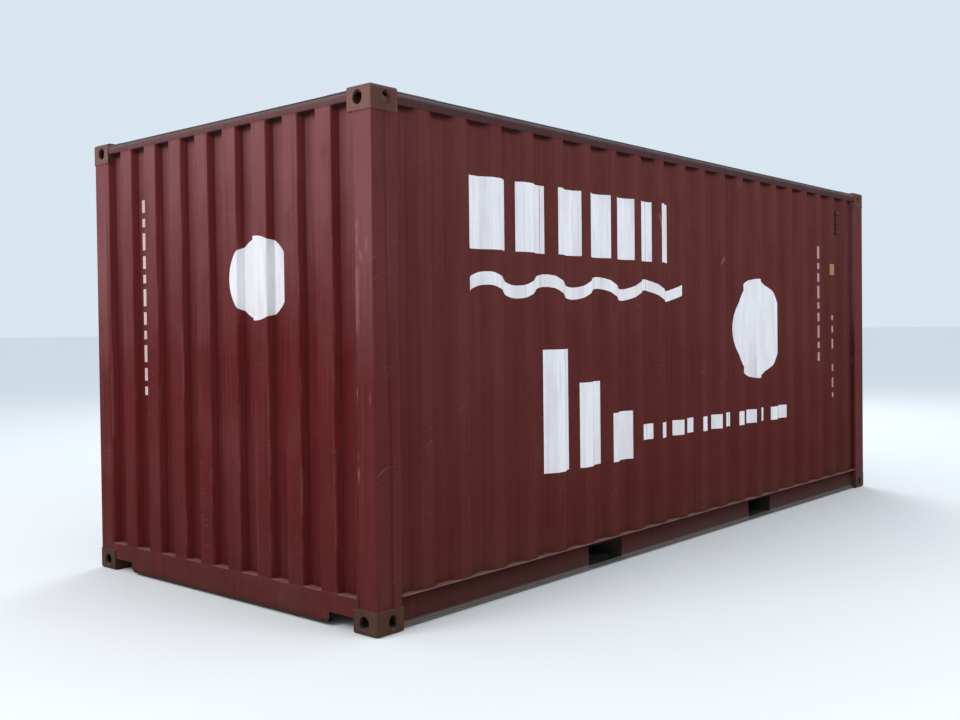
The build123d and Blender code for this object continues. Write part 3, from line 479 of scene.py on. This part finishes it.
SLOT_FINISHES = {
    "frame_paint": frame_enamel,
    "casting_paint": casting_enamel,
    "side_paint": side_wall_enamel,
    "end_paint": end_wall_enamel,
    "roof_paint": roof_enamel,
    "door_paint": door_enamel,
    "underbody_coat": bitumen_coat(),
    "plywood": floor_plywood(),
    "seal_rubber": seal_rubber(),
    "galvanised": galvanised_steel(),
    "vent_plastic": vent_plastic,
}
for subpart in frame["record"]["subparts"]:
    for place in nodes[subpart["node"]].material_slots:
        place.material = SLOT_FINISHES[subpart["material_slot"]]
for side in ("left", "right"):
    nodes[f"bottom_side_rail_{side}"].material_slots[0].material = rail_enamel
    nodes[f"top_side_rail_{side}"].material_slots[0].material = top_rail_enamel
nodes["front_header"].material_slots[0].material = top_rail_enamel


# Pieces added to the frame

def finished(piece, slot_name, material=None):
    """A finished piece: it rides on the container and takes its finish from a slot."""
    piece.data.materials.clear()
    piece.data.materials.append(material or SLOT_FINISHES[slot_name])
    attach(piece, "root")
    return piece


def linked(name, mesh):
    """A new object of a mesh, in the scene."""
    piece = bpy.data.objects.new(name, mesh)
    bpy.context.scene.collection.objects.link(piece)
    return piece


def path_mesh(name, lines):
    """A mesh of edges alone; each line is a list of points, closed where its ends meet."""
    mesh = bmesh.new()
    for points in lines:
        made = [mesh.verts.new(point) for point in points]
        for before, after in zip(made, made[1:]):
            mesh.edges.new((before, after))
    bmesh.ops.remove_doubles(mesh, verts=mesh.verts, dist=SAME_POINT)
    data = bpy.data.meshes.new(name)
    mesh.to_mesh(data)
    mesh.free()
    return data


def socket_names(tree):
    """The identifier of each named input of a geometry tree."""
    return {item.name: item.identifier for item in tree.interface.items_tree if item.in_out == "INPUT"}


def grown(name, mesh, tree, sizes):
    """A plain mesh that a geometry tree makes of another mesh, with the tree's inputs set by name."""
    source = linked(name + "_source", mesh)
    modifier = source.modifiers.new("tree", "NODES")
    modifier.node_group = tree
    identifiers = socket_names(tree)
    for input_name, value in sizes.items():
        modifier[identifiers[input_name]] = value
    evaluated = source.evaluated_get(bpy.context.evaluated_depsgraph_get())
    result = bpy.data.meshes.new_from_object(evaluated)
    result.name = name
    bpy.data.objects.remove(source)
    return linked(name, result)


def new_tree(name, inputs):
    """A geometry tree with named inputs, each a kind of socket and its default."""
    tree = bpy.data.node_groups.new(name, "GeometryNodeTree")
    tree.interface.new_socket("Geometry", in_out="INPUT", socket_type="NodeSocketGeometry")
    for input_name, (kind, default) in inputs.items():
        made = tree.interface.new_socket(input_name, in_out="INPUT", socket_type=kind)
        if default is not None:
            made.default_value = default
    tree.interface.new_socket("Geometry", in_out="OUTPUT", socket_type="NodeSocketGeometry")
    entry = add(tree, "NodeGroupInput").outputs
    return tree, entry


def close_tree(tree, geometry, material):
    """Ends a geometry tree: instances made real, and one material."""
    real = add(tree, "GeometryNodeRealizeInstances", {"Geometry": geometry})
    dressed = add(tree, "GeometryNodeSetMaterial", {"Geometry": real, "Material": material})
    add(tree, "NodeGroupOutput", {"Geometry": dressed})


def bead_tree():
    """Round bead laid along edges, as weld, sealant or a rubber lip is."""
    tree, entry = new_tree("bead", {"Radius": ("NodeSocketFloat", 3 * MM), "Sides": ("NodeSocketInt", 6)})
    path = add(tree, "GeometryNodeMeshToCurve", {"Mesh": entry["Geometry"]})
    ring = add(tree, "GeometryNodeCurvePrimitiveCircle", {"Resolution": entry["Sides"],
                                                          "Radius": entry["Radius"]})
    bead = add(tree, "GeometryNodeCurveToMesh", {"Curve": path, "Profile Curve": ring, "Fill Caps": True})
    close_tree(tree, bead, frame_enamel)
    return tree


def fastener_tree():
    """A bolt head on its washer, or a rivet head, at each point of a mesh, all facing one way."""
    tree, entry = new_tree("fasteners", {
        "Head radius": ("NodeSocketFloat", 9 * MM),
        "Crown radius": ("NodeSocketFloat", 8 * MM),
        "Head height": ("NodeSocketFloat", 6 * MM),
        "Sides": ("NodeSocketInt", 6),
        "Washer radius": ("NodeSocketFloat", 12 * MM),
        "Washer height": ("NodeSocketFloat", 1.5 * MM),
        "Facing": ("NodeSocketVector", None),
    })
    head = add(tree, "GeometryNodeMeshCone", {"Vertices": entry["Sides"], "Radius Top": entry["Crown radius"],
                                              "Radius Bottom": entry["Head radius"],
                                              "Depth": entry["Head height"]})
    lift = add(tree, "ShaderNodeCombineXYZ", {"Z": entry["Washer height"]})
    head = add(tree, "GeometryNodeTransform", {"Geometry": head, "Translation": lift})
    washer = add(tree, "GeometryNodeMeshCylinder", {"Vertices": 10, "Radius": entry["Washer radius"],
                                                    "Depth": entry["Washer height"]})
    half = add(tree, "ShaderNodeMath", (entry["Washer height"], 0.5), operation="MULTIPLY")
    half = add(tree, "ShaderNodeCombineXYZ", {"Z": half})
    washer = add(tree, "GeometryNodeTransform", {"Geometry": washer, "Translation": half})
    whole = add(tree, "GeometryNodeJoinGeometry", {"Geometry": head})
    fill(tree, whole, {"Geometry": washer})
    spin = add(tree, "FunctionNodeRandomValue", {2: 0.0, 3: pi, "Seed": 4}, data_type="FLOAT")
    turn = add(tree, "ShaderNodeCombineXYZ", {"Z": spin})
    placed = add(tree, "GeometryNodeInstanceOnPoints", {"Points": entry["Geometry"], "Instance": whole,
                                                        "Rotation": entry["Facing"]})
    spun = add(tree, "GeometryNodeRotateInstances", {"Instances": placed, "Rotation": turn})
    close_tree(tree, spun, zinc)
    return tree


BEAD = bead_tree()
FASTENER = fastener_tree()
FACING = {"+x": (0, pi / 2, 0), "-y": (pi / 2, 0, 0), "+y": (-pi / 2, 0, 0)}
HEX_BOLT = {"Head radius": 10 * MM, "Crown radius": 9.2 * MM, "Head height": 7 * MM, "Sides": 6,
            "Washer radius": 13 * MM, "Washer height": 1.5 * MM}
HINGE_RIVET = {"Head radius": 9 * MM, "Crown radius": 5 * MM, "Head height": 4 * MM, "Sides": 12,
               "Washer radius": 9 * MM, "Washer height": 0.5 * MM}
RIVET = {"Head radius": 5 * MM, "Crown radius": 2.6 * MM, "Head height": 1.8 * MM, "Sides": 10,
         "Washer radius": 5 * MM, "Washer height": 0.4 * MM}


def fasteners(name, places, facing, sizes, slot_name="galvanised", material=None):
    """Bolts or rivets at the places, as one piece."""
    mesh = bpy.data.meshes.new(name + "_places")
    mesh.from_pydata([tuple(place) for place in places], [], [])
    piece = grown(name, mesh, FASTENER, {**sizes, "Facing": FACING[facing]})
    return finished(piece, slot_name, material or zinc)


def beads(name, lines, radius_mm, slot_name, material=None, sides=6):
    """Beads along the lines, as one piece."""
    piece = grown(name, path_mesh(name + "_path", lines), BEAD, {"Radius": radius_mm * MM, "Sides": sides})
    return finished(piece, slot_name, material)


def outline(node, height):
    """Edges where a level plane cuts a node: the outline of its section at a height."""
    mesh = bmesh.new()
    mesh.from_mesh(nodes[node].data)
    bmesh.ops.remove_doubles(mesh, verts=mesh.verts, dist=SAME_PLACE)
    cut = bmesh.ops.bisect_plane(mesh, geom=mesh.verts[:] + mesh.edges[:] + mesh.faces[:],
                                 plane_co=(0, 0, height), plane_no=(0, 0, 1))["geom_cut"]
    edges = [edge for edge in cut if isinstance(edge, bmesh.types.BMEdge)]
    lines = [[vertex.co.copy() for vertex in edge.verts] for edge in edges]
    mesh.free()
    return lines


def mirrored(lines):
    """Lines and their mirror images on the right side."""
    return lines + [[Vector((point[0], -point[1], point[2])) for point in line] for line in lines]


# Weld beads

FLARE_DEPTH = 6 * MM        # how far the flare weld lies behind the end's face
FLARE_OUTWARD = 0.0035      # its place beside the post, as a share of the post's distance from the middle
SEAM_PROUD = 1.4 * MM


def weld_beads():
    """Fillet and flare welds that join the sheets to the rails, sills and posts, the welds at the ends
    of the posts, and the seams between sheets."""
    wall_lines = []
    for side in ("left", "right"):
        for height in (floor_top + MM, rail_underside - MM):
            wall_lines += outline(f"side_wall_{side}", height)
    beads("side_wall_welds", wall_lines, 3.0, "side_paint", side_wall_enamel)
    end_lines = []
    for height in (sill_top + MM, header_underside - MM):
        end_lines += outline("front_wall", height)
    post_edge = -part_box("front_post_left")[1].y
    flare = []
    for y in (-post_edge, post_edge):
        filled = y * (1 + FLARE_OUTWARD)
        flare.append([Vector((end_face + FLARE_DEPTH, filled, sill_top)),
                      Vector((end_face + FLARE_DEPTH, filled, high.z - fitting_height))])
    beads("front_wall_welds", end_lines, 3.0, "end_paint", end_wall_enamel)
    beads("post_flare_welds", flare, 5.5, "end_paint", end_wall_enamel, sides=10)
    post_lines = []
    for post in ("front_post_left", "front_post_right", "rear_post_left", "rear_post_right"):
        for height in (fitting_height + MM, high.z - fitting_height - MM):
            post_lines += outline(post, height)
    beads("post_welds", post_lines, 4.0, "frame_paint")
    wall_low, wall_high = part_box("side_wall_left")
    upright = []
    for x in (wall_low.x, wall_high.x):
        upright.append([Vector((x, wall_high.y - MM, height)) for height in (floor_top, rail_underside)])
    beads("wall_edge_welds", mirrored(upright), 4.0, "side_paint", side_wall_enamel)
    butt = []
    for count in (-6, -2, 2, 6):
        x = count * SIDE_PITCH
        y = side_valley_plane - SEAM_PROUD
        butt.append([Vector((x, y, floor_top)), Vector((x, y, rail_underside))])
    beads("side_sheet_seams", mirrored(butt), 2.0, "side_paint", side_wall_enamel)
    roof_low, roof_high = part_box("roof_panel")
    seams = []
    for share in (1 / 6, 1 / 2, 5 / 6):
        x = roof_low.x + (roof_high.x - roof_low.x) * share
        seams.append([Vector((x, roof_low.y, roof_high.z)), Vector((x, roof_high.y, roof_high.z))])
    beads("roof_seams", seams, 2.5, "roof_paint")
    edge_z = roof_high.z - MM
    rim = [Vector((x, side_face, edge_z)) for x in (low.x + fitting_length, high.x - fitting_length)]
    across = [Vector((end_face, y, edge_z)) for y in (low.y + fitting_width, -low.y - fitting_width)]
    beads("roof_edge_welds", mirrored([rim]) + [across], 2.5, "roof_paint", top_rail_enamel)


def islands(node):
    """The box of each separate solid of a node."""
    mesh = bmesh.new()
    mesh.from_mesh(nodes[node].data)
    bmesh.ops.remove_doubles(mesh, verts=mesh.verts, dist=SAME_PLACE)
    boxes, seen = [], set()
    for start in mesh.verts:
        if start in seen:
            continue
        seen.add(start)
        waiting, found = [start], []
        while waiting:
            vertex = waiting.pop()
            found.append(vertex.co.copy())
            for edge in vertex.link_edges:
                other = edge.other_vert(vertex)
                if other not in seen:
                    seen.add(other)
                    waiting.append(other)
        boxes.append((Vector([min(co[axis] for co in found) for axis in range(3)]),
                      Vector([max(co[axis] for co in found) for axis in range(3)])))
    mesh.free()
    return boxes


def around(box, x, margin=0.0):
    """A closed line round a box's outline as seen from the door end, at a place along the container."""
    (y_low, z_low), (y_high, z_high) = box[0].yz, box[1].yz
    y_low, z_low, y_high, z_high = y_low - margin, z_low - margin, y_high + margin, z_high + margin
    corners = [(y_low, z_low), (y_high, z_low), (y_high, z_high), (y_low, z_high), (y_low, z_low)]
    return [Vector((x, y, z)) for y, z in corners]


# Door end

BRACKET_PLATE, HINGE_BLADE = 5 * MM, 8 * MM
BOLT_EDGE = 14 * MM                         # from a bracket's edge to the middle of its bolt
RIVET_REACHES = (18 * MM, 62 * MM)          # from the blade's free end
RIVET_EDGE = 34 * MM                        # from the blade's upper and lower edge


def door_seal_lips():
    """Two rubber lips of the seal round each leaf, which stand a little proud of the gap."""
    lip = 2.8 * MM
    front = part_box("door_gaskets")[1].x + lip
    lines = []
    for side, outer_front, outer_margin in (("left", front + lip / 2, 3 * lip), ("right", front, 2.6 * lip)):
        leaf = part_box(f"door_frame_{side}")
        lines.append(around(leaf, front, lip))
        lines.append(around(leaf, outer_front, outer_margin))
    beads("door_seal_lips", lines, 2.6, "seal_rubber", sides=8)


def door_gear_fasteners():
    """Bolts that hold the rod brackets to the leaves, and rivets that hold the hinge blades."""
    bolts = []
    for low_corner, high_corner in islands("rod_brackets"):
        for y in (low_corner.y + BOLT_EDGE, high_corner.y - BOLT_EDGE):
            for z in (low_corner.z + BOLT_EDGE, high_corner.z - BOLT_EDGE):
                bolts.append((leaf_face + BRACKET_PLATE, y, z))
    fasteners("bracket_bolts", bolts, "+x", HEX_BOLT)
    rivets = []
    for side, outward in (("left", -1), ("right", 1)):
        for low_corner, high_corner in islands(f"door_hinges_{side}"):
            free_end = high_corner.y if outward < 0 else low_corner.y
            for reach in RIVET_REACHES:
                for z in (low_corner.z + RIVET_EDGE, high_corner.z - RIVET_EDGE):
                    rivets.append((leaf_face + HINGE_BLADE, free_end + outward * reach, z))
    fasteners("hinge_rivets", rivets, "+x", HINGE_RIVET, "frame_paint", frame_enamel)


def door_welds():
    """Fillet welds round the keepers, the catches and the sheets of the leaves."""
    gear_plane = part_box("door_header")[1].x
    lines = [around(box, gear_plane) for box in islands("cam_keepers")]
    beads("keeper_welds", lines, 3.0, "galvanised", frame_enamel)
    lines = [around(box, leaf_face) for box in islands("handle_catches")]
    beads("catch_welds", lines, 2.5, "galvanised", door_enamel)
    lines = []
    for side in ("left", "right"):
        low_corner, high_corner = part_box(f"door_panel_{side}")
        x = leaf_face - 0.5 * MM
        for y in (low_corner.y, high_corner.y):
            lines.append([Vector((x, y, low_corner.z)), Vector((x, y, high_corner.z))])
        for z in (low_corner.z, high_corner.z):
            lines.append([Vector((x, low_corner.y, z)), Vector((x, high_corner.y, z))])
    beads("leaf_sheet_welds", lines, 2.2, "door_paint")


# Ventilators

VENT_RIVET_OFF, VENT_RIVET_EDGE = 19 * MM, 14 * MM   # from the middle, and from the upper and lower edge


def ventilator_details():
    """Sealant round the ventilators and the rivets that hold them."""
    lines, rivets = [], {"-y": [], "+y": []}
    for low_corner, high_corner in islands("ventilators"):
        outward = -1 if low_corner.y < 0 else 1
        wall = outward * -side_valley_skin
        corners = [(low_corner.x, low_corner.z), (high_corner.x, low_corner.z),
                   (high_corner.x, high_corner.z), (low_corner.x, high_corner.z),
                   (low_corner.x, low_corner.z)]
        lines.append([Vector((x, wall, z)) for x, z in corners])
        face = low_corner.y if outward < 0 else high_corner.y
        middle = (low_corner.x + high_corner.x) / 2
        for x in (middle - VENT_RIVET_OFF, middle + VENT_RIVET_OFF):
            for z in (low_corner.z + VENT_RIVET_EDGE, high_corner.z - VENT_RIVET_EDGE):
                rivets["-y" if outward < 0 else "+y"].append((x, face, z))
    beads("ventilator_sealant", lines, 4.0, "side_paint", side_wall_enamel)
    fasteners("ventilator_rivets_left", rivets["-y"], "-y", RIVET, "vent_plastic", vent_plastic)
    fasteners("ventilator_rivets_right", rivets["+y"], "+y", RIVET, "vent_plastic", vent_plastic)


# Markings: plain shapes of enamel, drawn flat as (along, up) and laid over the folds

PAINT_THICKNESS = 0.4 * MM
PAINT_OFF = 0.9 * MM        # laid this far off the sheet, so that it shows
MIDDLE_HEIGHT = 1.4         # where the outline of the folds is taken
ON_SKIN = 0.05 * MM         # a point this near to the outer skin lies on it


def outer_skin(node, right, outward, height):
    """Outer skin of a folded wall at a height: its points in order, as (along, out)."""
    mesh = nodes[node].data
    surface = BVHTree.FromPolygons([v.co for v in mesh.vertices], [p.vertices for p in mesh.polygons])
    points = {}
    for line in outline(node, height):
        for point in line:
            hit = surface.ray_cast(point + outward, -outward)[0]
            if hit is not None and (hit - point).length < ON_SKIN:
                points[round(point.dot(right), 5)] = point.dot(outward)
    return sorted(points.items())


def stood_off(line, distance):
    """The same line a distance further out, mitred at its corners."""
    moved = []
    for index, point in enumerate(line):
        before = Vector(point) - Vector(line[index - 1]) if index else Vector(line[1]) - Vector(point)
        after = Vector(line[index + 1]) - Vector(point) if index < len(line) - 1 else before
        ways = [Vector((-step.y, step.x)).normalized() for step in (before, after)]
        moved.append(Vector(point) + (ways[0] + ways[1]) * distance / (1 + ways[0].dot(ways[1])))
    return moved


def out_at(line, along):
    """How far out a line lies at a place along the wall."""
    for start, end in zip(line, line[1:]):
        if start.x <= along <= end.x and end.x > start.x:
            return start.y + (end.y - start.y) * (along - start.x) / (end.x - start.x)
    return line[0].y if along < line[0].x else line[-1].y


def bar(left, foot, width, height):
    """An upright bar."""
    return [[(left, foot), (left + width, foot), (left + width, foot + height), (left, foot + height)]]


def disc(along, up, radius):
    """A plain disc."""
    steps = 48
    turns = [2 * pi * step / steps for step in range(steps)]
    return [[(along + radius * cos(turn), up + radius * sin(turn)) for turn in turns]]


def wave(left, right, up, thickness, swing, length):
    """A level band that waves up and down."""
    steps = 60
    edge = []
    for step in range(steps + 1):
        along = left + (right - left) * step / steps
        edge.append((along, up + swing * sin(2 * pi * (along - left) / length)))
    return [[a, b, (b[0], b[1] + thickness), (a[0], a[1] + thickness)] for a, b in zip(edge, edge[1:])]


def marking(name, skin, right, outward, shapes, material, slot_name):
    """Paint in the given shapes, laid on a wall's skin and over its folds."""
    line = stood_off(skin, PAINT_OFF)
    mesh = bmesh.new()
    for shape in shapes:
        mesh.faces.new([mesh.verts.new((along, 0, up)) for along, up in shape])
    bmesh.ops.remove_doubles(mesh, verts=mesh.verts, dist=SAME_POINT)
    for fold in line:
        bmesh.ops.bisect_plane(mesh, geom=mesh.verts[:] + mesh.edges[:] + mesh.faces[:], dist=SAME_POINT,
                               plane_co=(fold.x, 0, 0), plane_no=(1, 0, 0))
    for vertex in mesh.verts:
        vertex.co = right * vertex.co.x + outward * out_at(line, vertex.co.x) + Vector((0, 0, vertex.co.z))
    bmesh.ops.recalc_face_normals(mesh, faces=mesh.faces)
    if sum((face.normal * face.calc_area() for face in mesh.faces), Vector()).dot(outward) < 0:
        bmesh.ops.reverse_faces(mesh, faces=mesh.faces)
    bmesh.ops.solidify(mesh, geom=mesh.faces[:], thickness=PAINT_THICKNESS)
    bmesh.ops.triangulate(mesh, faces=mesh.faces)
    bmesh.ops.recalc_face_normals(mesh, faces=mesh.faces)
    data = bpy.data.meshes.new(name)
    mesh.to_mesh(data)
    mesh.free()
    return finished(linked(name, data), slot_name, material)


def markings():
    """White bars, a disc, a wave, a row of blocks and worn ticks on the left side, and a disc and a row
    of ticks on the blind end."""
    white = marking_enamel("white_marking_enamel", "#dedcdf", "#cbbec0")
    yellowed = marking_enamel("yellowed_marking_enamel", "#d3b9b5", "#bd9c98")
    thinned = marking_enamel("thinned_marking_enamel", "#ad8583", "#8f6866")
    ochre = marking_enamel("ochre_marking_enamel", "#946c41", "#785639")

    right, outward = Vector((1, 0, 0)), Vector((0, -1, 0))
    skin = outer_skin("side_wall_left", right, outward, MIDDLE_HEIGHT)
    shapes = disc(0.98, 1.42, 0.37)
    left = -2.30
    for count in range(7):
        width = 0.30 - 0.03 * count
        shapes += bar(left, 1.86, width, 0.38)
        left += width + 0.09
    shapes += wave(-2.30, -0.16, 1.64, 0.07, 0.035, 0.53)
    for count in range(12):
        shapes += bar(-0.60 + 0.18 * count, 0.72, 0.10, 0.10)
    for count in range(3):
        shapes += bar(-1.66 + 0.33 * count, 0.62, 0.24, 0.70 - 0.20 * count)
    marking("side_marks", skin, right, outward, shapes, white, "side_paint")
    ticks = []
    up = 2.12
    for count in range(9):
        height = (0.10, 0.05, 0.07)[count % 3]
        up -= height + 0.035
        ticks += bar(2.06, up, 0.036, height)
        if count % 4:
            ticks += bar(2.345, up - 0.42, 0.030, height * 0.8)
    marking("side_ticks", skin, right, outward, ticks, thinned, "side_paint")
    marking("side_ochre_tick", skin, right, outward, bar(2.33, 1.86, 0.075, 0.09), ochre, "side_paint")

    right, outward = Vector((0, -1, 0)), Vector((-1, 0, 0))
    skin = outer_skin("front_wall", right, outward, MIDDLE_HEIGHT)
    marking("end_marks", skin, right, outward, disc(0.34, 1.72, 0.22), white, "end_paint")
    ticks = []
    up = 2.26
    for count in range(11):
        height = (0.075, 0.05, 0.10)[count % 3]
        up -= height + 0.035
        ticks += bar(-0.775, up, 0.062, height)
    marking("end_ticks", skin, right, outward, ticks, yellowed, "end_paint")


# The camera and the studio

def camera():
    """The camera at the photograph's view: its place, its turn and the framing of its picture."""
    place = Vector((-6.473, -4.758, 1.444))
    yaw, pitch, roll = radians(48.268), radians(-1.055), radians(-0.698)
    lens_mm = 39.844
    centre_x, centre_y = 448.9, 348.5
    picture = (960, 720)
    ahead = Vector((sin(yaw) * cos(pitch), cos(yaw) * cos(pitch), sin(pitch)))
    level = Vector((cos(yaw), -sin(yaw), 0))
    above = level.cross(ahead)
    right = level * cos(roll) + above * sin(roll)
    up = above * cos(roll) - level * sin(roll)
    data = bpy.data.cameras.new("camera")
    data.sensor_width = 36
    data.lens = lens_mm
    data.shift_x = (picture[0] / 2 - centre_x) / picture[0]
    data.shift_y = (centre_y - picture[1] / 2) / picture[0]
    data.clip_end = 1500
    viewer = bpy.data.objects.new("camera", data)
    bpy.context.scene.collection.objects.link(viewer)
    axes = Matrix((right, up, -ahead)).transposed().to_4x4()
    viewer.matrix_world = Matrix.Translation(place) @ axes
    bpy.context.scene.camera = viewer


def studio():
    """A plain pale floor, a pale surround and soft light, strongest on the blind end and the roof."""
    mesh = bpy.data.meshes.new("studio_floor")
    reach = 400
    mesh.from_pydata([(-reach, -reach, 0), (reach, -reach, 0), (reach, reach, 0), (-reach, reach, 0)], [],
                     [(0, 1, 2, 3)])
    ground = linked("studio_floor", mesh)
    material, tree, shader = new_material("studio_floor_paint")[:3]
    fill(tree, shader, {"Base Color": linear("#f1f1f1"), "Roughness": 0.9})
    mesh.materials.append(material)
    world = bpy.data.worlds.new("surround")
    world.use_nodes = True
    background = world.node_tree.nodes["Background"]
    fill(world.node_tree, background, {"Color": linear("#e4f1fc"), "Strength": 0.9})
    bpy.context.scene.world = world
    for name, place, aim, size, power, tint in (
        ("key", (-11.0, 1.0, 8.0), (-3.0, 0.0, 1.2), 6.0, 550, "#fffcf6"),
        ("side", (1.0, -12.0, 7.0), (0.0, -1.2, 1.2), 8.0, 450, "#ffffff"),
        ("back", (9.0, 6.0, 9.0), (1.0, 0.5, 1.2), 7.0, 500, "#ffffff"),
    ):
        light = bpy.data.lights.new(name, "AREA")
        light.shape = "DISK"
        light.size = size
        light.energy = power
        light.color = linear(tint)[:3]
        lamp = bpy.data.objects.new(name, light)
        bpy.context.scene.collection.objects.link(lamp)
        lamp.location = place
        lamp.rotation_mode = "QUATERNION"
        lamp.rotation_quaternion = (Vector(aim) - Vector(place)).to_track_quat("-Z", "Y")
    bpy.context.scene.view_settings.view_transform = "Standard"


weld_beads()
door_seal_lips()
door_gear_fasteners()
door_welds()
ventilator_details()
markings()
camera()
studio()
